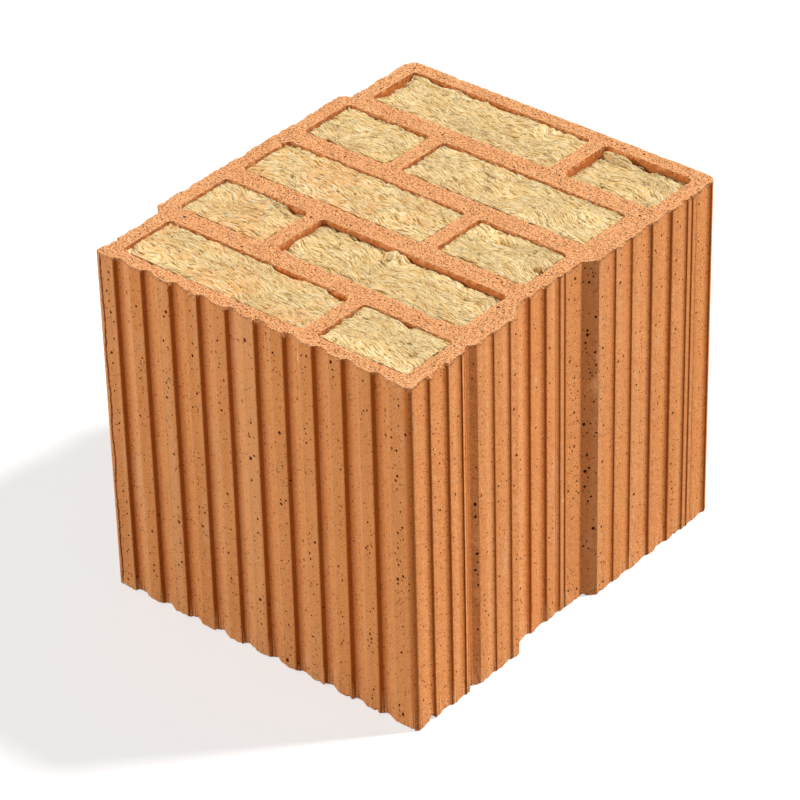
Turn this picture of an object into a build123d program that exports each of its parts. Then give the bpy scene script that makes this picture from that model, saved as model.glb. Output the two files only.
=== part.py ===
"""Thermal clay block for a 300 mm wall: one extruded, fired and ground block of clay, its chambers
filled with pads of mineral wool. Millimetres.

X runs along the wall, from the head with the tongue (-X) to the head with the groove (+X).
Y runs through the wall, from the plaster-grooved face (-Y) to the plain one. Z is up, and the ground
bed faces lie at z = 0 and z = block_height. The origin is the middle of the bottom.
"""
from build123d import *
import os

# the block
block_length = 248.0         # along the wall, from head to head, without the tongue
block_width = 300.0          # through the wall
block_height = 249.0         # between the two ground bed faces
front_corner_radius = 3.0
back_corner_radius = 9.0

# tongue on the -X head and groove on the +X head, placed along Y from the front face
tongue_depth = 6.4
tongue_start = 57.0
tongue_end = 240.0
tongue_ramp = 6.0            # run of each flank
groove_depth = 7.2
groove_start = 99.0
groove_end = 178.0
groove_ramp = 8.0            # run of each flank

# chambers: each row has a long and a short one, which change sides from row to row
row_count = 5
face_wall = 11.0             # clay between a face and the nearest row
row_web = 15.2               # clay between two rows
head_wall = 12.5             # clay between a head and the nearest chamber
cross_web = 11.5             # clay between the long and the short chamber
long_chamber = 144.0
chamber_corner_radius = 3.5

# plaster grooves on the front face: a steep flank, a narrow floor and a long gentle flank
plaster_pitch = 22.6
plaster_depth = 2.8
plaster_steep_run = 2.6
plaster_floor_run = 3.0
plaster_gentle_run = 6.8
plaster_steep_root = 3.2     # radius where the steep flank meets the floor
plaster_gentle_root = 5.0    # radius where the gentle flank meets the floor
plaster_first = 14.8         # from the -X head to the first groove
plaster_last_land = 16.0     # least land between the last groove and the +X head

# saw teeth down the heads: on the +X head the steep flank faces front, on the -X head it faces back
tooth_depth = 1.8
tooth_steep_run = 2.4
tooth_gentle_run = 11.0
tooth_root = 4.0             # radius in the valley
fine_tooth_depth = 1.1
fine_tooth_steep_run = 1.4
fine_tooth_gentle_run = 8.0
fine_tooth_root = 2.5
hairline_depth = 0.7
hairline_steep_run = 0.8
hairline_gentle_run = 2.0
hairline_root = 0.6
groove_head_teeth = (18.0, 35.0, 120.5, 136.0, 232.0, 252.0, 293.5)
groove_head_fine_teeth = (47.5, 77.0, 92.5, 149.5, 195.0, 211.5, 268.0)
groove_head_hairlines = (50.5, 154.5, 273.0)     # thin lines that the die draws beside a tooth
tongue_head_teeth = (8.0, 34.0, 83.5, 136.0, 190.0, 249.5)
tongue_head_fine_teeth = (100.0, 121.5, 154.0, 207.0, 273.0)
notch_place = 61.0           # the one deep tooth of the +X head
notch_depth = 3.6
notch_steep_run = 5.5
notch_gentle_run = 6.0
notch_root = 3.0

# pads of mineral wool, one pushed into each chamber
wool_clearance = 0.3         # from the pad to the chamber's walls
wool_foot = 1.5              # from the bottom bed face up to the pads
wool_recess_long = (1.0, 3.5, 0.8, 1.0, 1.5)     # from the top bed face down to the pad, row by row
wool_recess_short = (0.8, 0.8, 1.0, 1.5, 4.5)

# places worked out from the sizes above
groove_head = (block_length + tongue_depth) / 2
tongue_head = groove_head - block_length
front_face = -block_width / 2
chamber_width = (block_width - 2 * face_wall - (row_count - 1) * row_web) / row_count
row_pitch = chamber_width + row_web
short_chamber = block_length - 2 * head_wall - cross_web - long_chamber
overcut = 1.0                # how far a cutting shape stands out of the clay


def groove_head_point(y, inward):
    """A point by the +X head: y from the front face, and how far into the clay."""
    return (groove_head - inward, front_face + y)


def tongue_head_point(y, inward):
    """A point by the -X head: y from the front face, and how far into the clay."""
    return (tongue_head + inward, front_face + y)


def trapezoid(point, start, end, ramp, depth):
    """A flat-topped form on a head: the tongue, with a depth below zero, or the groove."""
    foot = -overcut if depth > 0 else overcut
    corners = [
        point(start, foot), point(start, 0), point(start + ramp, depth),
        point(end - ramp, depth), point(end, 0), point(end, foot)]
    if depth < 0:
        corners.reverse()    # so that the face of the tongue looks up, as the block's does
    return Polygon(*corners, align=None)


def round_root(cut, corner, radius):
    """Rounds the corner of a cutting shape that makes the root of a valley in the clay."""
    nearest = cut.vertices().sort_by_distance((*corner, 0))[0]
    return fillet(nearest, radius)


def tooth(point, place, level, depth, steep_run, gentle_run, root):
    """The clay that one saw tooth takes away. A run below zero leads towards the front face."""
    valley = place + steep_run
    tail = valley + gentle_run
    cut = Polygon(
        point(place, level), point(valley, level + depth), point(tail, level),
        point(tail, level - overcut), point(place, level - overcut), align=None)
    return round_root(cut, point(valley, level + depth), root)


def head_teeth():
    """All the saw teeth of both heads, each at the level that the tongue or groove gives there."""
    cuts = [tooth(groove_head_point, notch_place, 0, notch_depth, -notch_steep_run, -notch_gentle_run, notch_root)]
    coarse = (tooth_depth, tooth_steep_run, tooth_gentle_run, tooth_root)
    fine = (fine_tooth_depth, fine_tooth_steep_run, fine_tooth_gentle_run, fine_tooth_root)
    hairline = (hairline_depth, hairline_steep_run, hairline_gentle_run, hairline_root)
    for places, (depth, steep, gentle, root) in (
            (groove_head_teeth, coarse), (groove_head_fine_teeth, fine), (groove_head_hairlines, hairline)):
        for place in places:
            level = groove_depth if groove_start < place < groove_end else 0
            cuts.append(tooth(groove_head_point, place, level, depth, -steep, -gentle, root))
    for places, (depth, steep, gentle, root) in ((tongue_head_teeth, coarse), (tongue_head_fine_teeth, fine)):
        for place in places:
            level = -tongue_depth if tongue_start < place < tongue_end else 0
            cuts.append(tooth(tongue_head_point, place, level, depth, steep, gentle, root))
    return cuts


def plaster_grooves():
    """The grooves that hold the plaster, as many as the face has room for."""
    groove_run = plaster_steep_run + plaster_floor_run + plaster_gentle_run
    room = block_length - plaster_first - groove_run - plaster_last_land
    cuts = []
    for number in range(int(room / plaster_pitch) + 1):
        start = tongue_head + plaster_first + number * plaster_pitch
        floor_start = start + plaster_steep_run
        floor_end = floor_start + plaster_floor_run
        end = floor_end + plaster_gentle_run
        steep_foot = (floor_start, front_face + plaster_depth)
        gentle_foot = (floor_end, front_face + plaster_depth)
        cut = Polygon(
            (start, front_face - overcut), (start, front_face), steep_foot,
            gentle_foot, (end, front_face), (end, front_face - overcut), align=None)
        cut = round_root(cut, steep_foot, plaster_steep_root)
        cuts.append(round_root(cut, gentle_foot, plaster_gentle_root))
    return cuts


def block_outline():
    """The outer section that the die gives the clay."""
    middle = (tongue_head + groove_head) / 2
    section = Pos(middle, 0) * Rectangle(block_length, block_width)
    section = fillet(section.vertices().group_by(Axis.Y)[0], front_corner_radius)
    section = fillet(section.vertices().group_by(Axis.Y)[-1], back_corner_radius)
    section += trapezoid(tongue_head_point, tongue_start, tongue_end, tongue_ramp, -tongue_depth)
    section -= trapezoid(groove_head_point, groove_start, groove_end, groove_ramp, groove_depth)
    section -= head_teeth()
    section -= plaster_grooves()
    return section


def chambers():
    """Name, middle and length of every chamber, with the recess of its wool."""
    found = []
    for row in range(row_count):
        y = front_face + face_wall + chamber_width / 2 + row * row_pitch
        long_comes_first = row % 2 == 0
        # the rows behind the tongue move out with it
        behind_tongue = tongue_start < y - front_face < tongue_end
        start = tongue_head + head_wall - (tongue_depth if behind_tongue else 0)
        lengths = (long_chamber, short_chamber) if long_comes_first else (short_chamber, long_chamber)
        for length in lengths:
            kind = "long" if length == long_chamber else "short"
            recess = (wool_recess_long if kind == "long" else wool_recess_short)[row]
            found.append((f"row{row + 1}_{kind}", start + length / 2, y, length, recess))
            start += length + cross_web
    return found


def clay_block():
    section = block_outline()
    for _, x, y, length, _ in chambers():
        section -= Pos(x, y) * RectangleRounded(length, chamber_width, chamber_corner_radius)
    return extrude(section, block_height)


def wool_pad(x, y, length, recess):
    """A pad a little smaller than its chamber all round."""
    section = RectangleRounded(
        length - 2 * wool_clearance, chamber_width - 2 * wool_clearance,
        chamber_corner_radius - wool_clearance)
    return Pos(x, y, wool_foot) * extrude(section, block_height - wool_foot - recess)


os.makedirs("parts", exist_ok=True)
export_step(clay_block(), "parts/clay_block.step")
for name, x, y, length, recess in chambers():
    export_step(wool_pad(x, y, length, recess), f"parts/wool_{name}.step")
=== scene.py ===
"""The looks of a thermal clay block filled with mineral wool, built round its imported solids."""
import math
import random

import bmesh
import bpy
import numpy as np
from mathutils import Matrix, Vector, geometry, kdtree, noise


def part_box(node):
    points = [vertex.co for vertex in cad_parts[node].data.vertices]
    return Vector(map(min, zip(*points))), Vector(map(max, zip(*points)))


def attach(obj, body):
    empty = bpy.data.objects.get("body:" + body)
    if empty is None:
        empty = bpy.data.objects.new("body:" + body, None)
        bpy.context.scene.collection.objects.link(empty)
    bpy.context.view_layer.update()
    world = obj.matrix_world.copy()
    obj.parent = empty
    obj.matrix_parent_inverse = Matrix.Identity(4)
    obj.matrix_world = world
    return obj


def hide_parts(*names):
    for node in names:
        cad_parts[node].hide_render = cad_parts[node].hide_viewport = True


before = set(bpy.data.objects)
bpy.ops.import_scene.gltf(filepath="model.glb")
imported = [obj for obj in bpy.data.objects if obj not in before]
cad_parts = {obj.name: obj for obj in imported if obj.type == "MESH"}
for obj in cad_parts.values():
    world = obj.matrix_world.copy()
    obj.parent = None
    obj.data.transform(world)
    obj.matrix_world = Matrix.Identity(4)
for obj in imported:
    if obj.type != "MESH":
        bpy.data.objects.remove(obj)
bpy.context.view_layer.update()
mm = 0.001


# The clay block
# One piece of porous clay, pressed through a die, cut, dried, fired and then ground flat on both bed
# faces. The die leaves a smooth skin with pits down the sides, the grinding opens pores on the bed
# faces, and every arris between the two is a little ragged, with small chips.
bottom_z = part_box("clay_block")[0].z / mm
top_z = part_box("clay_block")[1].z / mm
dice = random.Random(7)


def bed_face_loops(node):
    """The closed loops round the top bed face, in millimetres, with the clay on their left. The outer
    one comes first."""
    copy = bmesh.new()
    copy.from_mesh(node.data)
    bmesh.ops.remove_doubles(copy, verts=copy.verts, dist=0.001 * mm)
    copy.normal_update()
    following = {}
    for face in copy.faces:
        if face.normal.z < 0.9:
            continue
        for corner in face.loops:
            if any(abs(other.normal.z) < 0.1 for other in corner.edge.link_faces):
                following[corner.vert.index] = corner.link_loop_next.vert.index
    places = {vert.index: vert.co.xy / mm for vert in copy.verts}
    loops = []
    while following:
        loop, here = [], next(iter(following))
        while here in following:
            loop.append(places[here])
            here = following.pop(here)
        loops.append(np.array(loop))
    copy.free()
    return sorted(loops, key=lambda loop: -np.ptp(loop[:, 1]))


def resample(loop, spacing, short_stretch=6.0):
    """More points along a closed loop, twice as close on its short stretches, with its own kept. Also
    says which are its own."""
    points, own = [], []
    for here, there in zip(loop, np.roll(loop, -1, axis=0)):
        reach = np.linalg.norm(there - here)
        steps = max(1, math.ceil(reach / (spacing if reach > short_stretch else spacing / 2)))
        for step in range(steps):
            points.append(here + (there - here) * step / steps)
            own.append(step == 0)
    return np.array(points), np.array(own)


def outward(points, sharpest=0.3):
    """At each point of a closed loop, the level direction out of the clay. Corners sharper than
    sharpest don't shoot out."""
    along = np.roll(points, -1, axis=0) - points
    along /= np.linalg.norm(along, axis=1)[:, None]
    both = along + np.roll(along, 1, axis=0)
    both /= np.maximum(np.linalg.norm(both, axis=1), sharpest)[:, None]
    return np.stack([both[:, 1], -both[:, 0]], axis=1)


def running_length(points):
    """How far along a closed loop each point lies, with the whole length at the end."""
    steps = np.linalg.norm(np.roll(points, -1, axis=0) - points, axis=1)
    return np.concatenate([[0.0], np.cumsum(steps)])


def closed(values):
    """The values at a loop's points, with the first once more at the end."""
    return np.append(values, values[:1], axis=0)


def distances(points, x, y):
    """How far each point lies from a place."""
    return np.hypot(points[:, 0] - x, points[:, 1] - y)


def ragged(points, length, evenness, chip_every, chip_size, seed, chips, least=0.06):
    """How far the arris is worn back at each point of a loop, in millimetres. chips are large ones:
    X, Y, reach along the arris and depth."""
    worn = np.array([
        evenness * (1.0 + 1.6 * noise.noise((x * 0.55, y * 0.55, seed))
                    + 1.1 * noise.noise((x * 1.7, y * 1.7, seed + 9)))
        for x, y in points])
    whole = length[-1]

    def hollow(middle, reach):
        """A chip's round hollow: 1 in its middle and 0 from its reach on."""
        away = np.abs(length[:-1] - middle)
        away = np.minimum(away, whole - away)
        return np.clip(1 - (away / reach) ** 2, 0, 1)

    for _ in range(int(whole / chip_every)):
        middle = dice.uniform(0, whole)
        reach = dice.uniform(0.7, 1.0) * chip_size
        depth = reach * dice.uniform(0.25, 0.6)
        worn += depth * hollow(middle, reach)
    for x, y, reach, depth in chips:
        away = distances(points, x, y)
        if away.min() < 1.6:
            uneven = np.array([0.8 + 0.5 * noise.noise(Vector((*p, seed)) * 0.9) for p in points])
            worn += depth * uneven * hollow(length[away.argmin()], reach)
    return np.clip(worn, least, None)


def crossing(rim):
    """Which stretches of a closed rim cross or nearly touch another one."""
    after = np.roll(rim, -1, axis=0)

    def side(a, b, c):
        """Above zero where c lies to the left of the way from a to b."""
        way, aim = b - a, c - a
        return way[..., 0] * aim[..., 1] - way[..., 1] * aim[..., 0]

    a, b, c, d = rim[:, None], after[:, None], rim[None], after[None]
    crossed = (side(a, b, c) * side(a, b, d) < 0) & (side(c, d, a) * side(c, d, b) < 0)
    return crossed.any(axis=1)


def set_back(points, worn, share=0.9):
    """The worn rim of a loop, set back by a share of how far the arris is worn down. Where the rim
    would fold over itself, worn is made less."""
    normals = outward(points)
    straight = np.roll(points, -1, axis=0) - points
    for _ in range(30):
        rim = points - normals * (worn * share)[:, None]
        along = np.roll(rim, -1, axis=0) - rim
        folded = (along * straight).sum(axis=1) < 0.2 * (straight ** 2).sum(axis=1)
        folded |= crossing(rim)
        if not folded.any():
            break
        worn[folded | np.roll(folded, 1) | np.roll(folded, -1)] *= 0.6
    return rim


def inside(points, loop):
    """Whether each point lies within a closed loop."""
    px, py = points[:, 0:1], points[:, 1:2]
    ax, ay = loop[:, 0], loop[:, 1]
    bx, by = np.roll(ax, -1), np.roll(ay, -1)
    passed = ((ay > py) != (by > py)) & (px < (bx - ax) * (py - ay) / (by - ay + 1e-12) + ax)
    return passed.sum(axis=1) % 2 == 1


class Patch:
    """A part of the block's skin, laid flat: points with the way in from the surface and the marks
    that the material reads, and edges that the triangles have to keep."""

    def __init__(self):
        self.points, self.sunk, self.dark, self.pale, self.edges = [], [], [], [], []

    def add(self, point, sunk=0.0, dark=0.0, pale=0.0):
        self.points.append((float(point[0]), float(point[1])))
        self.sunk.append(sunk)
        self.dark.append(dark)
        self.pale.append(pale)
        return len(self.points) - 1

    def chain(self, indices, closed=False):
        self.edges.extend(zip(indices, indices[1:]))
        if closed:
            self.edges.append((indices[-1], indices[0]))

    def pit(self, centre, radius, depth, stretch, turn):
        """A pore: a rim, a ring halfway down and a floor."""
        sides = 7 if radius > 0.6 else 5
        wobble = [dice.uniform(0.8, 1.2) * radius for _ in range(sides)]
        cosine, sine = math.cos(turn), math.sin(turn)
        # how wide each ring is, how far in and how much painted shade it gets
        for width, sunk, dark in ((1.2, -0.08, 0.0), (0.9, 0.6 * depth, 1.0)):
            ring = []
            for side in range(sides):
                angle = 2 * math.pi * side / sides
                along = wobble[side] * width * stretch * math.cos(angle)
                across = wobble[side] * width * math.sin(angle)
                x = centre[0] + along * cosine - across * sine
                y = centre[1] + along * sine + across * cosine
                ring.append(self.add((x, y), sunk, dark))
            self.chain(ring, closed=True)
        self.add(centre, depth, 1.0)

    def grain(self, centre, sides, half_width, half_height, proud, pale_foot=0.0, pale_crown=0.0):
        """A grain that stands proud of the skin: a ring for its foot, and its crown."""
        for side in range(sides):
            angle = 2 * math.pi * side / sides
            place = (centre[0] + half_width * math.cos(angle), centre[1] + half_height * math.sin(angle))
            self.add(place, pale=pale_foot)
        self.add(centre, -proud, pale=pale_crown)

    def crack(self, route, half_width, depth):
        """A hairline crack: two rims and a floor along a route, narrow at both ends."""
        route = np.array(route)
        along = np.gradient(route, axis=0)
        along /= np.linalg.norm(along, axis=1)[:, None]
        aside = np.stack([-along[:, 1], along[:, 0]], axis=1)
        steps = np.arange(len(route))
        taper = np.minimum(1.0, np.minimum(steps, steps[::-1]) / 3 + 0.3)
        # each line's side, how far in, and its painted shade
        for side, sunk, dark in ((-1, 0.0, 0.1), (0, depth, 1.0), (1, 0.0, 0.1)):
            line = []
            for point, out, narrow in zip(route, aside, taper):
                width = half_width * narrow * dice.uniform(0.7, 1.3)
                line.append(self.add(point + out * side * width, sunk * narrow, dark))
            self.chain(line)

    def triangles(self):
        """The patch as triangles: its points, with sunk, painted shade and pale there, which of the points
        put down each one is, and the faces."""
        flat = [Vector(p) for p in self.points]
        points, _, faces, origin, _, _ = geometry.delaunay_2d_cdt(flat, self.edges, [], 0, 1e-6)
        first = [o[0] if o else -1 for o in origin]
        values = []
        for column in (self.sunk, self.dark, self.pale):
            values.append(np.array([column[f] if f >= 0 else 0.0 for f in first]))
        return np.array([tuple(p) for p in points]), values, np.array(first), np.array(faces)


def scatter(count, low, high, allowed, crowd, pick_radius, room=1.7):
    """Places for pits, closer in some parts than in others, with a room of so many radii round each.
    Returns rows of x, y and radius."""
    found = np.zeros((0, 3))
    for _ in range(count * 40):
        if len(found) == count:
            break
        x, y, radius = dice.uniform(low[0], high[0]), dice.uniform(low[1], high[1]), pick_radius()
        if noise.noise((x * crowd, y * crowd, 3.3)) < dice.uniform(-0.55, 0.45):
            continue
        gaps = distances(found, x, y) - found[:, 2] * room - radius * room
        if allowed(x, y, radius) and gaps.min(initial=math.inf) >= 0.25:
            found = np.vstack([found, (x, y, radius)])
    return found


def jagged(start, end, step, jag):
    """A route from start to end that wanders from side to side."""
    start, end = np.array(start, float), np.array(end, float)
    whole = np.linalg.norm(end - start)
    aside = np.array([-(end - start)[1], (end - start)[0]]) / whole
    count = max(4, int(whole / step))
    seed = start[0] * 0.37 + end[1]
    route = []
    for k in range(count + 1):
        share = k / count
        sway = noise.noise((share * whole * 0.3, seed, 0)) * 2 + noise.noise((share * whole * 1.1, seed, 5))
        route.append(start + (end - start) * share + aside * jag * sway)
    return np.array(route)


class Skin:
    """The whole mesh as it grows: vertices in millimetres, faces, and the marks at each vertex, which
    are painted shade in pits and cracks, pale, ground, and painted shade on the walls."""

    def __init__(self):
        self.verts, self.faces, self.marks = [], [], []

    def take(self, places, faces, dark=0.0, pale=0.0, ground=0.0, painted_wall_shade=0.0):
        base = len(self.verts)
        self.verts.extend(map(tuple, places))
        self.faces.extend([tuple(base + corner for corner in face) for face in faces])
        self.marks.extend(zip(*(np.broadcast_to(mark, len(places)) for mark in (dark, pale, ground, painted_wall_shade))))


def lay_bed_face(skin, rims, z, up, pore_count, spacing, unevenness, fissure_tries=0, cracks=()):
    """A ground bed face: rims are the worn loops that bound it. up is 1 on top and -1 below. cracks are
    single ones, from start to end."""
    patch = Patch()
    near = kdtree.KDTree(sum(len(rim) for rim in rims))
    flow = []
    for rim in rims:
        ring = [patch.add(p) for p in rim]
        patch.chain(ring, closed=True)
        run = np.roll(rim, -2, axis=0) - np.roll(rim, 2, axis=0)
        flow.extend(np.arctan2(run[:, 1], run[:, 0]))
        for number, (x, y) in zip(ring, rim):
            near.insert((x, y, 0), number)
    near.balance()
    rim_count = len(patch.points)
    outer = rims[0]
    low, high = outer.min(axis=0), outer.max(axis=0)
    torn = np.zeros((0, 2))

    def on_clay(x, y, margin):
        if near.find((x, y, 0))[2] < margin:
            return False
        here = np.array([(x, y)])
        return inside(here, outer)[0] and not any(
            inside(here, rim)[0] for rim in rims[1:]
            if rim[:, 0].min() < x < rim[:, 0].max() and rim[:, 1].min() < y < rim[:, 1].max())

    def off_cracks(x, y, margin):
        return distances(torn, x, y).min(initial=math.inf) >= margin

    def drift(x, y):
        """The way the clay flowed: along the nearest rim, a little astray."""
        return flow[near.find((x, y, 0))[1]] + dice.gauss(0, 0.4)

    # fine fissures where layers of the pressed clay part
    for _ in range(fissure_tries):
        x, y = dice.uniform(low[0], high[0]), dice.uniform(low[1], high[1])
        reach = dice.uniform(0.7, 2.2)
        if not on_clay(x, y, 1.1):
            continue
        way = drift(x, y)
        ends = [(x + side * reach * math.cos(way), y + side * reach * math.sin(way)) for side in (-1, 1)]
        route = jagged(*ends, step=0.9, jag=0.25)
        if all(on_clay(*point, 1.1) and off_cracks(*point, 1.2) for point in route):
            torn = np.vstack([torn, route])
            patch.crack(route, dice.uniform(0.22, 0.38), dice.uniform(0.6, 1.3))
    for start, end in cracks:
        route = jagged(start, end, step=1.0, jag=0.35)
        torn = np.vstack([torn, route])
        patch.crack(route, 0.16, 0.9)

    def for_pore(x, y, radius):
        reach = radius * 2.2
        return off_cracks(x, y, reach + 0.75) and on_clay(x, y, math.hypot(reach + 0.1, 0.95))

    def pore_radius():
        return min(0.9, 0.28 + dice.expovariate(7.5))

    pores = scatter(pore_count, low, high, for_pore, 0.08, pore_radius)
    for x, y, radius in pores:
        patch.pit((x, y), radius, radius * dice.uniform(1.1, 2.0), dice.uniform(1.0, 1.5), drift(x, y))
    # plain points between the pores, so that the face has an even mesh
    columns, rows = ((high - low) / spacing).astype(int)
    for i in range(columns):
        for j in range(rows):
            x = low[0] + (i + dice.uniform(0.2, 0.8)) * spacing
            y = low[1] + (j + dice.uniform(0.2, 0.8)) * spacing
            off_pores = (distances(pores, x, y) - pores[:, 2] * 1.9).min() > 0.3
            if off_pores and off_cracks(x, y, 0.8) and on_clay(x, y, 0.8):
                patch.add((x, y), unevenness * noise.noise((x * 0.42, y * 0.42, z)))
    points, (sunk, dark, pale), first, faces = patch.triangles()
    # long triangles, and those with all corners on rims, may bridge a chamber or a bay of the outline
    corners = points[faces]
    longest = np.linalg.norm(corners - np.roll(corners, 1, axis=1), axis=2).max(axis=1)
    bridging = np.flatnonzero((first[faces] < rim_count).all(axis=1) | (longest > 5))
    middles = corners[bridging].mean(axis=1)
    lost = ~inside(middles, outer)
    for rim in rims[1:]:
        lost |= inside(middles, rim)
    kept = np.delete(faces, bridging[lost], axis=0)[:, ::up]
    skin.take(np.column_stack([points, z - up * sunk]), kept.tolist(), dark, pale, ground=1.0)


def dark_flanks(loop, own):
    """Painted shade down the outer wall: 1 on the steep flank of each tooth and groove, fading out
    over its root. Also a painted highlight on a land's arris."""
    corners = np.flatnonzero(own)
    place = loop[corners]
    ahead = np.roll(place, -1, axis=0) - place
    stretch = np.linalg.norm(ahead, axis=1)
    ahead /= stretch[:, None]
    before = np.roll(ahead, 1, axis=0)
    turn = before[:, 0] * ahead[:, 1] - before[:, 1] * ahead[:, 0]
    root = turn < -0.02
    slope = np.abs(ahead).min(axis=1) / np.abs(ahead).max(axis=1)
    is_flank = (slope >= 0.69) & (stretch > 0.5) & (stretch < 6) & (root != np.roll(root, -1))
    at = running_length(loop)[:-1]
    dark, painted_highlight = np.zeros(len(loop)), np.zeros(len(loop))
    for k in np.flatnonzero(is_flank[:-1]):
        start, end = at[corners[k]], at[corners[k + 1]]
        on_head = abs(ahead[k][1]) > abs(ahead[k][0])
        # a long soft fade on the heads, a short one on the front
        fade, left = (5.5, 0.6) if on_head else (1.2, 1.0)
        # how far past the flank's root, and how far short of its arris
        past, short = (at - end, start - at) if root[k + 1] else (start - at, at - end)
        dark = np.maximum(dark, np.where(past > 0, left * np.clip(1 - past / fade, 0, 1), 0))
        dark = np.maximum(dark, np.where((past <= 0) & (short < 0), 1.0, 0))
        dark = np.maximum(dark, np.where(np.abs(short) < 1e-6, 0.5, 0))
    # painted shade on the deep notch too: most of all its root, in front of the flank
    head_x = 122
    for low_y, high_y, share in ((-98.6, -94.3, 0.7), (-94.3, -88.9, 0.3)):
        in_notch = (loop[:, 0] > head_x) & (loop[:, 1] > low_y) & (loop[:, 1] < high_y)
        dark = np.maximum(dark, share * in_notch)
    # painted shade on the front of the corner beside the grooved head too
    corner_x, corner_y = loop[(loop[:, 0] - loop[:, 1]).argmax()]
    reach, fade = 5.0, 2.5
    beside = np.clip((reach - distances(loop, corner_x, corner_y)) / fade, 0, 1)
    dark = np.maximum(dark, 0.7 * beside * (loop[:, 1] < corner_y + 1.4))
    # a painted highlight on the arris between a plaster groove's gentle flank and the land
    painted_highlight[corners[(turn > 0.3) & (turn < 0.5)]] = 1.0
    return dark, painted_highlight * (1 - dark)


def lay_wall(skin, loop, own, worn_top, worn_bottom, pit_count, drawn_lines, lime_grains):
    """The outer wall, laid flat: along the outline, and up. drawn_lines are cracks and die lines: X and
    Y of the foot, half width, depth, how far they wander, and their lowest and highest Z."""
    length = running_length(loop)
    normals = outward(loop)
    # painted shade on the steep flanks, and a painted highlight on the lands' arrises
    painted_wall_shade, painted_highlight = dark_flanks(loop, own)
    patch = Patch()
    low_edge, high_edge = bottom_z + closed(worn_bottom), top_z - closed(worn_top)
    foot = [patch.add(place) for place in zip(length, low_edge)]
    head = [patch.add(place) for place in zip(length, high_edge)]
    patch.chain(foot)
    patch.chain(head)
    # the straight lines that the die's corners draw down the block, and those where the marks begin or
    # end, each with a point close under the worn edge, so that its unevenness stays short
    marked = painted_wall_shade + painted_highlight > 0
    straight = own | (marked != np.roll(marked, 1)) | (marked != np.roll(marked, -1))
    straight |= np.abs(np.roll(painted_wall_shade, 1) + np.roll(painted_wall_shade, -1) - 2 * painted_wall_shade) > 0.15
    straight = np.append(straight, True)
    rows = np.linspace(bottom_z, top_z, 15)[1:-1]
    close_row = high_edge - 1.1
    for k in np.flatnonzero(straight):
        column = [patch.add((length[k], z)) for z in (*rows, close_row[k])]
        patch.chain([foot[k], *column, head[k]])
    drawn_lines = [(length[distances(loop, x, y).argmin()], *rest) for x, y, *rest in drawn_lines]

    def line_gap(s):
        """How far the nearest of the drawn lines is, with room for its wandering."""
        return min(abs(s - line[0]) - line[1] - 2.2 * line[3] for line in drawn_lines)

    for k in np.flatnonzero(~straight):
        if line_gap(length[k]) > 0.7:
            patch.add((length[k], close_row[k]))

    def clear(s, z, radius):
        if not bottom_z + 3.5 + radius < z < top_z - 3.5 - radius or line_gap(s) < radius * 1.4 + 0.2:
            return False
        return np.abs(length[straight] - s).min() > radius * 1.3 + 0.1

    def pit_radius():
        return min(1.0, 0.47 + dice.expovariate(7))

    def grain_radius():
        return dice.uniform(0.3, 0.5)

    whole_wall = (0, bottom_z), (length[-1], top_z)
    pits = scatter(pit_count, *whole_wall, clear, 0.035, pit_radius)
    for s, z, radius in pits:
        patch.pit((s, z), radius, radius * dice.uniform(1.3, 2.2), dice.uniform(1.0, 1.4), math.pi / 2)
    for x, y, z in lime_grains:
        s = length[distances(loop, x, y).argmin()] + 0.7
        if clear(s, z, 0.3):
            patch.grain((s, z), 6, 0.55, 1.7, proud=0.25, pale_foot=1.0, pale_crown=3.0)
    # small grains that stand out of the skin
    for s, z, radius in scatter(pit_count // 3, *whole_wall, clear, 0.035, grain_radius):
        if distances(pits, s, z).min() >= 2.2:
            patch.grain((s, z), 5, radius, radius, proud=0.22)
    for at, half_width, depth, wander, low, high in drawn_lines:
        near = np.abs(length[:-1] - at) < 4
        low = max(low, bottom_z + worn_bottom[near].max() + 0.3)
        high = min(high, top_z - worn_top[near].max() - 0.3)
        route = []
        for z in np.arange(low, high, 1.5):
            sway = 1.3 * noise.noise((z * 0.04, at, 0)) + 0.7 * noise.noise((z * 0.3, at, 5))
            route.append((at + wander * sway, z))
        patch.crack(route, half_width, depth)
    points, (sunk, dark, pale), _, faces = patch.triangles()
    # the flat layout also fills the notches above and below the worn edges
    across, up = points[faces].mean(axis=1).T
    on_wall = (np.interp(across, length, low_edge) < up) & (up < np.interp(across, length, high_edge))
    # back from the flat strip to the block
    s, z = points.T
    places = np.column_stack([np.interp(s, length, column) for column in closed(loop).T] + [z])
    at = np.clip(np.searchsorted(length, s, side="right") - 1, 0, len(loop) - 1)
    exact = np.abs(length[at] - s) < 1e-6
    edge = np.roll(loop, -1, axis=0) - loop
    edge /= np.linalg.norm(edge, axis=1)[:, None]
    level = np.stack([edge[at, 1], -edge[at, 0]], axis=1)
    level[exact] = normals[at[exact]]
    places[:, :2] -= level * sunk[:, None]
    # the lands' arrises get their painted highlight through the pale mark
    pale = pale + 0.8 * np.interp(s, length, closed(painted_highlight))
    skin.take(places, faces[on_wall].tolist(), dark, pale, painted_wall_shade=np.interp(s, length, closed(painted_wall_shade)))


def between_rings(count, rows):
    """The faces between closed rings of count points each."""
    faces = []
    for base in range(0, rows * count, count):
        for k in range(count):
            a, b = base + k, base + (k + 1) % count
            faces.append((a, b, b + count, a + count))
    return faces


def lay_chamber_wall(skin, loop, worn_top, worn_bottom):
    """A chamber's wall. Only its ends show, so the rows there are close and the rest is one tall row."""
    streak = np.array([0.22 * noise.noise((x * 0.5, y * 0.5, 2.0)) for x, y in loop])
    streaked = loop + outward(loop) * streak[:, None]
    foot, head = bottom_z + worn_bottom, top_z - worn_top
    rings = [(loop, foot), (streaked, foot + 3.0)]
    rings += [(streaked, head - way_in) for way_in in (12.0, 7.0, 3.0)]
    rings.append((loop, head))
    places = np.vstack([np.column_stack(ring) for ring in rings])
    # painted shade over the whole chamber wall
    skin.take(places, between_rings(len(loop), len(rings) - 1), painted_wall_shade=0.6)


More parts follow.
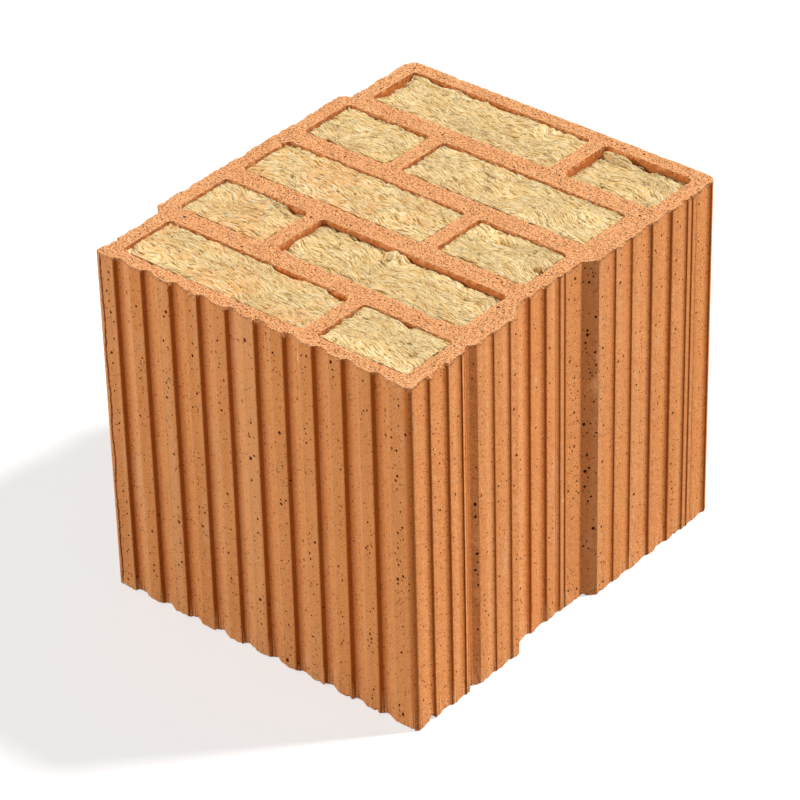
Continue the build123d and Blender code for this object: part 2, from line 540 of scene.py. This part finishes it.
def lay_arris(skin, rim, loop, worn, z, up):
    """The narrow broken strip between a bed face's rim and the wall below it."""
    count = len(loop)
    places = np.vstack([np.column_stack([rim, np.full(count, z)]), np.column_stack([loop, z - up * worn])])
    faces = [face[::-up] for face in between_rings(count, 1)]
    skin.take(places, faces, pale=np.repeat((0.3, 0.1), count), ground=np.repeat((1.0, 0.4), count))


large_chips = (
    # X, Y, reach, depth: at the heads of three teeth, along one chamber and on the front
    (127.2, -132.0, 2.6, 1.6), (120.0, -29.5, 2.8, 1.8), (127.2, 82.0, 2.8, 1.6), (127.2, -115.0, 2.0, 1.2),
    (86.0, -80.4, 7.5, 1.8), (29.6, -150.0, 2.4, 1.5), (-16.0, -150.0, 1.8, 1.2), (-104.0, -150.0, 2.2, 1.1),
    (-28.0, -95.6, 4.0, 1.2), (64.0, -95.6, 5.0, 1.2), (-74.0, -37.0, 4.0, 1.2), (10.0, 80.4, 4.0, 0.8),
)
lime_grains = (
    # X, Y and Z
    (127.2, -129.0, 168.0), (120.0, -24.0, 187.0), (127.2, 103.0, 187.0), (123.0, 2.0, 84.0),
    (40.0, -150.0, 236.0),
)
drawn_lines = (
    # X, Y, half width, depth, wander, lowest and highest Z
    # a drying crack down the front, close to its left end
    (-117.0, -150.0, 0.7, 2.6, 0.9, 0, 249),
    # hairlines down the right head
    (127.2, -103.4, 0.16, 0.5, 0.25, 0, 249),
    (127.2, -95.0, 0.16, 0.4, 0.3, 40, 249),
    (120.0, -4.0, 0.16, 0.5, 0.25, 0, 249),
    (127.2, 126.0, 0.16, 0.5, 0.25, 0, 249),
)
top_cracks = (((-33.6, -34.9), (-28.9, -30.2)), ((-47.6, -89.0), (-45.0, -82.0)))
clay_skin = Skin()
top_rims, bottom_rims = [], []
for index, loop in enumerate(bed_face_loops(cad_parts["clay_block"])):
    is_outer = index == 0
    points, own = resample(loop, spacing=1.4 if is_outer else 1.9)
    length = running_length(points)
    # evenness, a chip every so many millimetres, and their size
    wear = (0.40, 6.5, 2.4) if is_outer else (0.42, 9.0, 2.2)
    # the back is less worn
    rear = 1.0 - 0.5 * (points[:, 1] > 140)
    worn_top = rear * ragged(points, length, *wear, seed=index * 3.1 + 3, chips=large_chips)
    worn_bottom = rear * ragged(points, length, *wear, seed=index * 3.1 + 6, chips=())
    for worn, rims, z, up in ((worn_top, top_rims, top_z, 1), (worn_bottom, bottom_rims, bottom_z, -1)):
        rims.append(set_back(points, worn))
        lay_arris(clay_skin, rims[-1], points, worn, z, up)
    if is_outer:
        lay_wall(clay_skin, points, own, worn_top, worn_bottom, 2350, drawn_lines, lime_grains)
    else:
        lay_chamber_wall(clay_skin, points, worn_top, worn_bottom)
lay_bed_face(clay_skin, top_rims, top_z, 1, pore_count=1900, spacing=2.7, unevenness=0.45,
             fissure_tries=2600, cracks=top_cracks)
lay_bed_face(clay_skin, bottom_rims, bottom_z, -1, pore_count=220, spacing=7.0, unevenness=0.05)


def mesh_object(name, verts, faces, marks):
    """A new object from places in millimetres, with a number at each vertex for each named mark."""
    mesh = bpy.data.meshes.new(name)
    mesh.from_pydata([Vector(v) * mm for v in verts], [], faces)
    for mark, values in marks.items():
        mesh.attributes.new(mark, "FLOAT", "POINT").data.foreach_set("value", list(values))
    made = bpy.data.objects.new(name, mesh)
    bpy.context.collection.objects.link(made)
    return made


def faces_outwards(obj, merge=None):
    """Selects one object alone, merges its points that lie closer than merge, and turns its faces out."""
    bpy.ops.object.select_all(action="DESELECT")
    obj.select_set(True)
    bpy.context.view_layer.objects.active = obj
    bpy.ops.object.mode_set(mode="EDIT")
    bpy.ops.mesh.select_all(action="SELECT")
    if merge:
        bpy.ops.mesh.remove_doubles(threshold=merge)
    bpy.ops.mesh.normals_make_consistent(inside=False)
    bpy.ops.object.mode_set(mode="OBJECT")


clay_marks = dict(zip(("dark", "pale", "ground", "painted_wall_shade"), zip(*clay_skin.marks)))
clay_block = mesh_object("fired_clay_block", clay_skin.verts, clay_skin.faces, clay_marks)
faces_outwards(clay_block, merge=0.002 * mm)
bpy.ops.object.shade_smooth_by_angle(angle=math.radians(24))


class Paint:
    """A material's nodes, put down one after another. A value is a number, a colour or another node's
    output."""

    def __init__(self, name, roughness, specular):
        self.material = bpy.data.materials.new(name)
        self.material.use_nodes = True
        self.nodes, self.links = self.material.node_tree.nodes, self.material.node_tree.links
        self.shader = self.nodes["Principled BSDF"]
        self.shader.inputs["Roughness"].default_value = roughness
        self.shader.inputs["Specular IOR Level"].default_value = specular
        self.place = self.nodes.new("ShaderNodeTexCoord").outputs["Object"]

    def plug(self, socket, value):
        if isinstance(value, bpy.types.NodeSocket):
            self.links.new(value, socket)
        else:
            socket.default_value = (*value, 1) if isinstance(value, tuple) else value

    def stretch(self, scale):
        """Object coordinates in cells: scale is in cells per metre."""
        mapping = self.nodes.new("ShaderNodeMapping")
        mapping.inputs["Scale"].default_value = scale
        self.links.new(self.place, mapping.inputs["Vector"])
        return mapping.outputs["Vector"]

    def noise(self, scale, detail, rough=0.5, warp=0.0, vector=None):
        made = self.nodes.new("ShaderNodeTexNoise")
        self.links.new(vector or self.place, made.inputs["Vector"])
        for name, value in (("Scale", scale), ("Detail", detail), ("Roughness", rough), ("Distortion", warp)):
            made.inputs[name].default_value = value
        return made.outputs["Fac"]

    def spots(self, scale):
        """Voronoi cells: how far from the cell's middle, and two random shades of the cell's own."""
        made = self.nodes.new("ShaderNodeTexVoronoi")
        self.links.new(self.place, made.inputs["Vector"])
        made.inputs["Scale"].default_value = scale
        split = self.nodes.new("ShaderNodeSeparateColor")
        self.links.new(made.outputs["Color"], split.inputs["Color"])
        return made.outputs["Distance"], split.outputs["Red"], split.outputs["Green"]

    def math(self, kind, value, *others):
        """The value taken with each of the others in turn."""
        for other in others:
            made = self.nodes.new("ShaderNodeMath")
            made.operation = kind
            self.plug(made.inputs[0], value)
            self.plug(made.inputs[1], other)
            value = made.outputs[0]
        return value

    def times(self, *values):
        return self.math("MULTIPLY", *values)

    def plus(self, *values):
        return self.math("ADD", *values)

    def band(self, value, low, high, to_low=0.0, to_high=1.0):
        """The value between low and high, taken smoothly to a new range and held there."""
        made = self.nodes.new("ShaderNodeMapRange")
        made.interpolation_type = "SMOOTHSTEP"
        for name, number in (("From Min", low), ("From Max", high), ("To Min", to_low), ("To Max", to_high)):
            made.inputs[name].default_value = number
        self.links.new(value, made.inputs["Value"])
        return made.outputs["Result"]

    def mix(self, share, under, over):
        made = self.nodes.new("ShaderNodeMix")
        made.data_type = "RGBA"
        self.plug(made.inputs["Factor"], share)
        self.plug(made.inputs[6], under)
        self.plug(made.inputs[7], over)
        return made.outputs[2]

    def lay(self, colour, *shares):
        """Lays a colour over what is there, by the product of the shares."""
        self.colour = self.mix(self.times(*shares), self.colour, colour)

    def mark(self, name):
        made = self.nodes.new("ShaderNodeAttribute")
        made.attribute_name = name
        return made.outputs["Fac"]

    def finish(self, relief, height):
        """The colour to the shader, and relief of that height in metres through a bump."""
        self.links.new(self.colour, self.shader.inputs["Base Color"])
        bump = self.nodes.new("ShaderNodeBump")
        bump.inputs["Strength"].default_value = 1.0
        bump.inputs["Distance"].default_value = height
        self.links.new(relief, bump.inputs["Height"])
        self.links.new(bump.outputs["Normal"], self.shader.inputs["Normal"])
        return self.material


def fired_clay():
    """Orange fired clay: a deeper skin where the die has pressed it and a paler ground face."""
    clay = Paint("fired_clay", roughness=0.95, specular=0.05)
    ground, pale = clay.mark("ground"), clay.mark("pale")
    skin = clay.math("SUBTRACT", 1.0, ground)

    def share(on_skin, more):
        """A share on the skin, and so much more on the ground faces."""
        return clay.plus(clay.times(ground, more), on_skin)

    clay.colour = clay.mix(ground, (0.86, 0.325, 0.098), (0.96, 0.445, 0.180))
    # clouds of deeper firing, a few centimetres across
    clay.lay((0.72, 0.255, 0.075), clay.band(clay.noise(28, 3), 0.3, 0.7), 0.35)
    # streaks that the die draws down the skin, and pale smears
    drawn = clay.noise(1.0, 4, rough=0.6, vector=clay.stretch((300, 300, 5)))
    clay.lay((0.88, 0.43, 0.20), clay.band(drawn, 0.42, 0.7), skin, 0.28)
    smear = clay.noise(1.0, 3, vector=clay.stretch((70, 70, 16)))
    clay.lay((0.92, 0.55, 0.32), clay.band(smear, 0.62, 0.76), skin, 0.35)
    # bands of one shade, each as wide as a few teeth
    bands = clay.noise(1.0, 1, vector=clay.stretch((85, 85, 1.2)))
    clay.lay((0.76, 0.252, 0.062), clay.band(bands, 0.45, 0.62), skin, 0.25)
    clay.lay((0.96, 0.46, 0.19), clay.band(bands, 0.45, 0.36), skin, 0.35)
    # crushed brick, and a few grains of sand and lime
    away, shade, other = clay.spots(480)
    clay.lay((0.50, 0.13, 0.025), clay.band(away, 0.42, 0.25), clay.band(shade, 0.66, 0.78), 0.5)
    clay.lay((1.0, 0.72, 0.45), clay.band(away, 0.26, 0.14), clay.band(other, 0.975, 0.985), 0.7)
    # painted shade in pinholes too small for the mesh, which the bump sinks as well
    far, chance, _ = clay.spots(380)
    pinhole = clay.times(clay.band(far, 0.26, 0.15), clay.band(chance, 0.62, 0.68), share(0.7, 0.2))
    clay.lay((0.20, 0.05, 0.012), pinhole, 0.95)
    # the open grain, most of all on the ground face: painted shade where its bump sinks, and a
    # painted highlight where it rises
    crumb = clay.noise(900, 4, rough=0.65)
    clay.lay((0.56, 0.17, 0.04), clay.band(crumb, 0.49, 0.38), share(0.2, 0.65))
    clay.lay((1.0, 0.68, 0.41), clay.band(crumb, 0.52, 0.63), share(0.3, 0.55))
    # the mesh's own marks: painted shade on the walls' flanks and in the chambers, pale worn arrises,
    # a painted highlight on the lands' arrises, lime, and painted shade in pits and cracks
    clay.lay((0.46, 0.105, 0.012), clay.mark("painted_wall_shade"))
    clay.lay((1.0, 0.50, 0.21), clay.band(pale, 0.0, 1.0, 0.0, 0.4))
    clay.lay((1.0, 0.90, 0.80), clay.band(pale, 1.0, 2.0, 0.0, 0.9))
    clay.lay((0.06, 0.010, 0.002), clay.mark("dark"))
    relief = clay.plus(
        clay.times(crumb, share(0.6, 1.8)), clay.times(clay.noise(170, 3), 1.4),
        clay.times(clay.noise(420, 2), clay.times(ground, 3.0)), clay.times(pinhole, -1.0))
    return clay.finish(relief, 0.55 * mm)


clay_block.data.materials.append(fired_clay())
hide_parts("clay_block")
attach(clay_block, "root")


# The wool pads
# Ten bats of mineral wool, cut from a slab and pushed into the chambers. The fibres lie in thin wavy
# layers along each chamber. The cut tops sit a little below the ground face, torn and tufted at their
# edges, and a few loose fibres lie on them.


def rolling(x, y, seed):
    """Smooth random hills and hollows from 0 to 1, one a unit apart."""
    size = 256
    table = np.random.default_rng(seed).random((size, size))
    i, j = np.floor(x).astype(int), np.floor(y).astype(int)
    u, v = x - i, y - j
    u, v = u * u * (3 - 2 * u), v * v * (3 - 2 * v)
    i, j, i1, j1 = i % size, j % size, (i + 1) % size, (j + 1) % size
    near_row = table[i, j] * (1 - u) + table[i1, j] * u
    far_row = table[i, j1] * (1 - u) + table[i1, j1] * u
    return near_row * (1 - v) + far_row * v


def creases(hills, width):
    """Thin lines where smooth hills cross their middle height, from 0 beside them to 1 on them."""
    return np.clip(1 - np.abs(hills - 0.5) / width, 0, 1)


def layer_at(x, y, seed, wave):
    """Which layer of fibres each place lies in: the layers run along X and sway."""
    sway = (rolling(x / 30, y / 24, seed) - 0.5) * 13 + (rolling(x / 11, y / 12, seed + 1) - 0.5) * 4
    return y + wave * sway + x * 0.08


def fibre_layers(x, y, seed, wave, tuft):
    """The torn top of a bat: height in millimetres, and how deep in a gap each place lies, which the
    wool's painted shade follows.
    """
    across = layer_at(x, y, seed, wave)
    long_lines = creases(rolling(x / 15, across / 1.4, seed + 2), 0.12)
    short_lines = creases(rolling(x / 9, across / 1.1, seed + 3), 0.12)
    lines = 0.8 * long_lines + short_lines
    tears = creases(rolling(x / 16, across / 4.0, seed + 5), 0.07)
    tears *= np.clip((rolling(x / 10, y / 8, seed + 6) - 0.5) / 0.2, 0, 1)
    clumps = rolling(x / 9, across / 4.0, seed + 4) - 0.5
    bundles = rolling(x / 8, across / 1.5, seed + 12) - 0.5
    gaps = np.clip(0.7 * lines + 0.9 * tears, 0, 1.4)
    height = clumps * 0.8 * tuft + bundles * 0.6 - lines * 0.8 - tears * 1.4
    height += (rolling(x / 3.0, across / 0.9, seed + 7) - 0.5) * 0.3 * tuft
    return height, gaps


def vertex_places(mesh):
    """Where a mesh's vertices lie, in millimetres."""
    flat = np.empty(len(mesh.vertices) * 3)
    mesh.vertices.foreach_get("co", flat)
    return flat.reshape(-1, 3) / mm


def wool_bat(node, seed, wave, tuft, dips):
    """One bat. dips are hollows (or, below zero, tufts): middle X and Y, half lengths and depth."""
    low, high = (np.array(corner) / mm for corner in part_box(node))
    middle, half = (low + high) / 2, (high - low) / 2
    cell_along, cell_across = 0.95, 0.52
    bpy.ops.object.select_all(action="DESELECT")
    bpy.ops.mesh.primitive_grid_add(
        x_subdivisions=round(half[0] * 2 / cell_along), y_subdivisions=round(half[1] * 2 / cell_across),
        size=2 * mm, location=(middle[0] * mm, middle[1] * mm, low[2] * mm))
    bat = bpy.context.object
    bat.name = bat.data.name = node.replace("wool", "wool_bat")
    bpy.ops.object.transform_apply(location=False, rotation=False, scale=True)
    bpy.ops.object.mode_set(mode="EDIT")
    bpy.ops.mesh.select_all(action="SELECT")
    bpy.ops.transform.resize(value=(half[0], half[1], 1))
    # a low row at the foot, one tall row, and closer and closer rows up to the top
    foot_row, top_rows = 2.0, (3.0, 2.5, 2.0, 1.5)
    for lift in (foot_row, high[2] - low[2] - foot_row - sum(top_rows), *top_rows):
        bpy.ops.mesh.extrude_region_move(TRANSFORM_OT_translate={"value": (0, 0, lift * mm)})
    bpy.ops.mesh.select_all(action="SELECT")
    bpy.ops.mesh.normals_make_consistent(inside=False)
    bpy.ops.object.mode_set(mode="OBJECT")
    bpy.ops.object.transform_apply(location=True)
    place = vertex_places(bat.data)
    # the corners follow the chamber's rounded corners
    corner = 3.4
    away = np.abs(place[:, :2] - middle[:2]) - (half[:2] - corner)
    in_corner = (away > 0).all(axis=1)
    reach = np.hypot(away[:, 0], away[:, 1])
    shrink = np.where(in_corner, away.max(axis=1) / np.maximum(reach, 1e-6), 1.0)
    for axis in (0, 1):
        sign = np.sign(place[:, axis] - middle[axis])
        inner = middle[axis] + sign * (half[axis] - corner)
        place[:, axis] = np.where(in_corner, inner + sign * away[:, axis] * shrink, place[:, axis])
    x, y, z = place.T.copy()
    edge = np.min(half[:2] - np.abs(place[:, :2] - middle[:2]), axis=1)
    layers, gaps = fibre_layers(x, y, seed, wave, tuft)
    # the rim is frayed: it drops away from the wall in places and stands a little proud in others
    fray = rolling(x / 5.5, y / 5.5, seed + 8) * 0.7 + rolling(x / 1.8, y / 1.8, seed + 9) * 0.3
    drop = np.clip(1 - edge / (0.8 + 3.0 * fray), 0, 1) ** 2 * (0.25 + 9.0 * np.clip(fray - 0.52, 0, 1))
    hollow = np.zeros(len(place))
    ripple = 0.75 + 0.5 * rolling(x / 2.5, y / 1.6, seed + 10)
    for dx, dy, rx, ry, depth in dips:
        hollow += depth * np.clip(1.25 - ((x - dx) / rx) ** 2 - ((y - dy) / ry) ** 2, 0, 1) * ripple
    top, foot = z > high[2] - 0.1, z < low[2] + 0.1
    # the bat is about flush with the bed face, and its rim lies lower in places
    sunk = layers + 0.35 - drop - hollow
    under_layers, under_gaps = fibre_layers(x, y, seed + 40, wave, tuft)
    # the rows under the top go down with it, so that the side never folds over
    side_reach = 9
    with_top = np.clip((z - (high[2] - side_reach)) / side_reach, 0, 1)
    rise = np.where(foot, np.clip(0.9 - under_layers * 0.8, 0, 3), sunk * with_top)
    rise = np.where(top, sunk, rise)
    proudest = top_z + 0.7
    place[:, 2] += np.minimum(rise, proudest - z)
    # the sides are rough, and most of all at the top
    inward = np.where(edge < 0.05, 0.25 + 0.9 * rolling(x / 2.2 + y / 2.2, z / 6.0, seed + 11), 0.0)
    inward *= np.where(top, 1.6, np.where(z > high[2] - 5, 1.0, 0.4))
    outward_way = place[:, :2] - middle[:2]
    for axis in (0, 1):
        at_wall = half[axis] - np.abs(outward_way[:, axis]) < 0.05
        place[:, axis] -= np.where(at_wall, np.sign(outward_way[:, axis]) * inward, 0.0)
    bat.data.vertices.foreach_set("co", (place * mm).ravel())
    # painted shade: in the top's gaps, more where the rim drops away or a hollow is deep, on the underside,
    # and a flat share down the sides
    top_gaps = np.clip(gaps + 0.2 * np.clip(drop + hollow - 1.0, 0, 3), 0, 1)
    shade = np.where(top, top_gaps, np.where(foot, under_gaps, 0.45))
    for mark, values in (("painted_gap_shade", shade), ("layer", layer_at(x, y, seed, wave))):
        bat.data.attributes.new(mark, "FLOAT", "POINT").data.foreach_set("value", values)
    bpy.ops.object.shade_smooth()
    return bat


def loose_strands(bat, seed, wave, strands):
    """Thin loose fibres on a bat's top, as part of its mesh: three-sided, tapering to both ends."""
    chance = random.Random(seed)
    verts, faces = [], []
    points = vertex_places(bat.data)
    crown = points[points[:, 2] > top_z - 16]
    finder = kdtree.KDTree(len(crown))
    for index, (x, y, _) in enumerate(crown):
        finder.insert((x, y, 0), index)
    finder.balance()
    low, high = crown.min(axis=0), crown.max(axis=0)
    for number in range(strands):
        x, y = chance.uniform(low[0] + 3, high[0] - 3), chance.uniform(low[1] + 1.2, high[1] - 1.2)
        # every third strand hangs out over the rim
        fringe = number % 3 == 0
        if fringe and chance.random() < 0.75:
            y = chance.choice((low[1] + 0.4, low[1] + 0.4, high[1] - 0.4))
        elif fringe:
            x = chance.choice((low[0] + 0.5, high[0] - 0.5))
        # a fringe needs wool that reaches the rim
        if fringe and crown[finder.find((x, y, 0))[1]][2] < top_z - 1.6:
            continue
        # along the layers, or nearly so
        here, ahead, beside = layer_at(np.array([x, x + 1, x]), np.array([y, y, y + 1]), seed, wave)
        heading = math.atan2(here - ahead, beside - here) + chance.gauss(0, 0.16)
        heading += math.pi if chance.random() < 0.5 else 0
        bend, length = chance.gauss(0, 0.12), chance.uniform(3, 9)
        if fringe:
            heading += chance.gauss(0, 0.5)
            length *= 0.6
        steps, thick = 5, chance.uniform(0.10, 0.22)
        over = 1.1 if fringe else -0.6
        base = len(verts)
        for step in range(steps + 1):
            ground = max(crown[found[1]][2] for found in finder.find_n((x, y, 0), 4))
            if not (low[0] + 0.5 < x < high[0] - 0.5 and low[1] + 0.5 < y < high[1] - 0.5):
                ground = max(ground, top_z)
            hover = 0.12 + 0.35 * math.sin(math.pi * step / steps) * chance.random()
            size = thick * (0.35 + 0.65 * math.sin(math.pi * (step + 0.4) / (steps + 0.8)))
            side = (-math.sin(heading) * size, math.cos(heading) * size)
            ridge = min(ground + hover + size, top_z + 1.0)
            verts.append((x + side[0], y + side[1], ridge - size))
            verts.append((x - side[0], y - side[1], ridge - size))
            verts.append((x, y, ridge))
            heading += bend
            x += math.cos(heading) * length / steps
            y += math.sin(heading) * length / steps
            x = min(max(x, low[0] - over), high[0] + over)
            y = min(max(y, low[1] - over), high[1] + over)
        last = base + steps * 3
        faces.extend(tuple(base + corner for corner in face) for face in between_rings(3, steps))
        faces.append((base + 2, base + 1, base))
        faces.append((last, last + 1, last + 2))
    # below zero, the painted gap shade makes the loose strands paler instead
    marks = {"painted_gap_shade": [-0.6] * len(verts), "layer": [v[1] for v in verts]}
    bundle = mesh_object("strands", verts, faces, marks)
    faces_outwards(bundle)
    bat.select_set(True)
    bpy.context.view_layer.objects.active = bat
    bpy.ops.object.join()


def mineral_wool(name, dusty):
    """Cream mineral wool: paler strands, painted highlights on the fibres' crests, painted shade in
    their creases and gaps, and orange clay dust on some of it.
    """
    wool = Paint(name, roughness=1.0, specular=0.0)
    wool.shader.inputs["Sheen Weight"].default_value = 0.04
    wool.shader.inputs["Sheen Roughness"].default_value = 0.6
    split = wool.nodes.new("ShaderNodeSeparateXYZ")
    wool.links.new(wool.place, split.inputs[0])

    def fibres(along, across, detail, warp):
        """Noise drawn out along the fibres: cells for each millimetre along and across the layers."""
        joined = wool.nodes.new("ShaderNodeCombineXYZ")
        wool.plug(joined.inputs["X"], wool.times(split.outputs["X"], along / mm))
        wool.plug(joined.inputs["Y"], wool.times(wool.mark("layer"), across))
        wool.plug(joined.inputs["Z"], wool.times(split.outputs["Z"], 0.25 * across / mm))
        return wool.noise(1.0, detail, rough=0.6, warp=warp, vector=joined.outputs["Vector"])

    lay = fibres(0.05, 0.16, 3, 0.5)
    thread = fibres(0.15, 1.5, 2, 0.35)
    strand = fibres(0.14, 1.1, 2, 0.3)
    wool.colour = wool.mix(wool.band(lay, 0.35, 0.65), (0.83, 0.565, 0.235), (0.90, 0.675, 0.33))
    dust = wool.band(wool.noise(38, 4, rough=0.65), 0.58 - 0.16 * dusty, 0.76 - 0.16 * dusty)
    wool.lay((0.95, 0.47, 0.17), dust, 0.25 + 0.3 * dusty)
    # painted highlight on the fibres' crests, where the bump rises
    wool.lay((0.97, 0.85, 0.58), wool.band(strand, 0.54, 0.59), 0.6)
    # painted shade in the fibres' creases, where the bump sinks
    wool.lay((0.40, 0.185, 0.03), wool.band(thread, 0.455, 0.415), 0.8)
    painted_gap_shade = wool.mark("painted_gap_shade")
    # painted shade in the gaps, tears and hollows and down the bats' sides; the loose strands paler
    wool.lay((0.24, 0.11, 0.02), wool.band(painted_gap_shade, 0.45, 1.25), 0.8)
    wool.lay((1.0, 0.84, 0.52), wool.band(painted_gap_shade, -0.1, -0.6, 0.0, 0.6))
    return wool.finish(wool.plus(wool.times(thread, 1.6), wool.plus(strand, lay)), 0.75 * mm)


clean_wool = mineral_wool("clean_mineral_wool", 0.0)
dusty_wool = mineral_wool("dusty_mineral_wool", 1.0)
bats = (
    # node, seed, wave, tuft, strands, wool, hollows and tufts
    ("wool_row1_long", 11, 1.0, 1.0, 150, dusty_wool,
     ((-11, -96.5, 11, 2.6, 4.0), (28, -97, 9, 2.8, 4.0), (35.6, -117, 1.8, 22, 5.0))),
    ("wool_row1_short", 23, 0.8, 0.9, 75, clean_wool, ()),
    ("wool_row2_short", 37, 1.5, 0.8, 75, dusty_wool, ((-56, -43, 13, 7, 2.6),)),
    ("wool_row2_long", 41, 1.1, 1.7, 150, clean_wool,
     ((26.5, -39, 9, 4.5, -2.6), (4.2, -78.5, 3, 2, 4.0), (95, -78, 5, 2.4, 5.0))),
    ("wool_row3_long", 53, 1.0, 1.0, 150, dusty_wool, ((-80, 12, 14, 5, 1.4),)),
    ("wool_row3_short", 67, 1.2, 1.0, 75, clean_wool, ((70.5, 10, 6.5, 2.4, 5.0), (103, -1, 5.5, 3, 5.0))),
    ("wool_row4_short", 71, 1.2, 1.0, 75, clean_wool, ((-96, 38.5, 6, 1.8, 5.0), (-52, 41, 5, 4, -2.0))),
    ("wool_row4_long", 83, 1.0, 1.0, 150, clean_wool, ()),
    ("wool_row5_long", 97, 1.0, 1.0, 150, clean_wool, ((-106, 117, 4, 18, 3.0),)),
    ("wool_row5_short", 103, 1.2, 1.1, 75, clean_wool, ((60, 134, 14, 3.4, -4.0), (82, 137, 5, 2, 3.0))),
)
for node, seed, wave, tuft, strands, wool, dips in bats:
    bat = wool_bat(node, seed, wave, tuft, dips)
    loose_strands(bat, seed, wave, strands)
    bat.data.materials.append(wool)
    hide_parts(node)
    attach(bat, "root")


# The floor and the light
# A plain pale floor, and soft light from both sides: the lamp behind on the right is the stronger one,
# so the grooves that look at the camera lie in shade.
def seen_by_camera(tree):
    """1 where the camera looks, also in a gloss or through glass, and 0 for light that falls on things."""
    rays = tree.nodes.new("ShaderNodeLightPath").outputs
    seen = rays["Is Camera Ray"]
    for kind in ("Is Glossy Ray", "Is Transmission Ray"):
        either = tree.nodes.new("ShaderNodeMath")
        either.operation = "MAXIMUM"
        tree.links.new(seen, either.inputs[0])
        tree.links.new(rays[kind], either.inputs[1])
        seen = either.outputs[0]
    return seen


bpy.ops.object.select_all(action="DESELECT")
bpy.ops.mesh.primitive_circle_add(vertices=96, radius=6.0, fill_type="NGON", location=(0, 0, -0.0002))
studio_floor = bpy.context.object
studio_floor.name = "studio_floor"
# the camera sees it nearly white with a soft shadow; the block is lit by a greyer one
pale_floor = Paint("studio_floor", roughness=1.0, specular=0.0)
camera_ray = seen_by_camera(pale_floor.material.node_tree)
pale_floor.plug(pale_floor.shader.inputs["Base Color"],
                pale_floor.mix(camera_ray, (0.34, 0.34, 0.34), (0.50, 0.50, 0.50)))
pale_floor.plug(pale_floor.shader.inputs["Emission Color"], (1, 1, 1))
pale_floor.plug(pale_floor.shader.inputs["Emission Strength"], pale_floor.times(camera_ray, 0.60))
studio_floor.data.materials.append(pale_floor.material)

view_azimuth, view_elevation, view_roll = (math.radians(angle) for angle in (40.61, 33.79, -1.46))


def direction(azimuth, elevation):
    """From the block towards a place in the studio. Azimuth 0 is straight in front."""
    level = math.cos(elevation)
    return Vector((math.sin(azimuth) * level, -math.cos(azimuth) * level, math.sin(elevation)))


lamps = (
    # name, degrees round from the camera, degrees up, strength and softness
    ("side_lamp_right", 100, 47, 3.75, 7),
    ("side_lamp_left", -77, 20, 1.6, 7),
)
for name, turn, height, strength, softness in lamps:
    lamp = bpy.data.lights.new(name, "SUN")
    lamp.energy = strength
    lamp.angle = math.radians(softness)
    holder = bpy.data.objects.new(name, lamp)
    bpy.context.collection.objects.link(holder)
    towards = direction(view_azimuth + math.radians(turn), math.radians(height))
    holder.rotation_euler = towards.to_track_quat("Z", "Y").to_euler()

world = bpy.data.worlds.new("studio")
bpy.context.scene.world = world
world.use_nodes = True
sky = world.node_tree
background = sky.nodes["Background"]
background.inputs["Color"].default_value = (1, 1, 1, 1)
level = sky.nodes.new("ShaderNodeMapRange")
level.inputs["To Min"].default_value = 0.26
level.inputs["To Max"].default_value = 1.0
sky.links.new(seen_by_camera(sky), level.inputs["Value"])
sky.links.new(level.outputs["Result"], background.inputs["Strength"])


# The camera
# A long lens a good two and a half metres off, above the right front arris.
back = direction(view_azimuth, view_elevation)
right = Vector((math.cos(view_azimuth), math.sin(view_azimuth), 0))
up = back.cross(right)
rolled_right = right * math.cos(view_roll) + up * math.sin(view_roll)
rolled_up = -right * math.sin(view_roll) + up * math.cos(view_roll)
aim, aside, raised, distance = Vector((3.2, 0, 124.5)) * mm, 9.0 * mm, 10.25 * mm, 2520.75 * mm
lens = bpy.data.cameras.new("photo_camera")
lens.sensor_width = 36.0
lens.lens = 180.35
lens.clip_end = 50.0
camera = bpy.data.objects.new("photo_camera", lens)
bpy.context.collection.objects.link(camera)
camera.location = aim - rolled_right * aside - rolled_up * raised + back * distance
camera.rotation_euler = Matrix((rolled_right, rolled_up, back)).transposed().to_euler()
bpy.context.scene.camera = camera
bpy.context.scene.view_settings.view_transform = "Standard"
